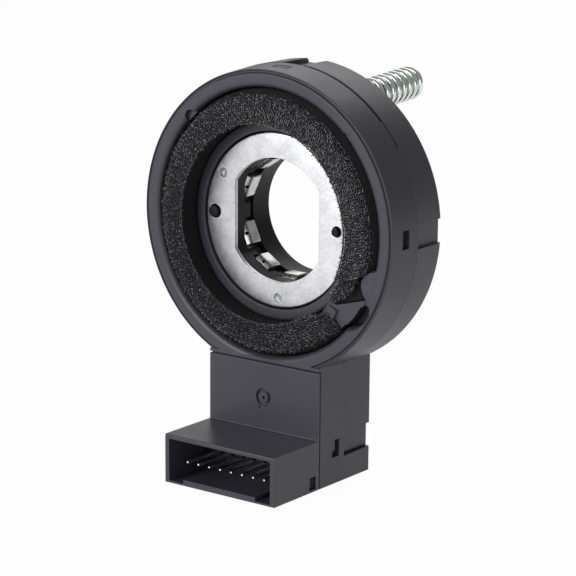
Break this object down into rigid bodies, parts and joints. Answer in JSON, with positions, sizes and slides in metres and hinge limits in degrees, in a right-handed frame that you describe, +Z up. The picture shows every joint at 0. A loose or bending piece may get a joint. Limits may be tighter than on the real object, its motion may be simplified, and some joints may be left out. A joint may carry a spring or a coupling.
{
  "type": "steering angle sensor",
  "caption": "Ring-shaped steering angle sensor: a rotor with a flatted bore turns in a moulded ring housing on a small electronics box with a plug connector.",
  "frame": {"origin": "on the flat base, straight under the bore axis, in the plane of the drive plate's front face", "axes": "+Z up from the base, +Y back through the bore away from the foam ring, +X to the right of someone facing the foam ring"},
  "size_m": [0.0574, 0.0461, 0.077],
  "materials": {
    "housing_plastic": "fine moulded texture",
    "hub_plastic": "smooth moulded",
    "foam": "open cells",
    "zinc_plate": "zinc plated",
    "spring_steel": "bright strip",
    "passivated_wire": "passivated",
    "tinned_contact": "tinned",
    "board_laminate": "solder mask",
    "component_body": "moulded",
    "bearing_plastic": "natural"
  },
  "bodies": {
    "housing": {"front_housing": "housing_plastic", "rear_housing": "housing_plastic", "connector_body": "housing_plastic", "contact_pin_1": "tinned_contact", "contact_pin_2": "tinned_contact", "contact_pin_3": "tinned_contact", "contact_pin_4": "tinned_contact", "contact_pin_5": "tinned_contact", "contact_pin_6": "tinned_contact", "contact_pin_7": "tinned_contact", "contact_pin_8": "tinned_contact", "foam_seal": "foam", "bearing_ring": "bearing_plastic", "circuit_board": "board_laminate", "light_barrier_1": "component_body", "light_barrier_2": "component_body", "light_barrier_3": "component_body", "controller_chip": "component_body", "capacitor_1": "component_body", "capacitor_2": "component_body", "oscillator": "component_body", "anti_rotation_spring": "passivated_wire"},
    "rotor": {"drive_plate": "zinc_plate", "rotor_hub": "hub_plastic", "clamping_spring": "spring_steel", "code_ring": "hub_plastic"}
  },
  "joints": [
    {"name": "rotor_turn", "type": "hinge", "parent": "housing", "child": "rotor", "pos_m": [0, 0, 0.0483], "axis": [0, 1, 0], "continuous": true}
  ]
}
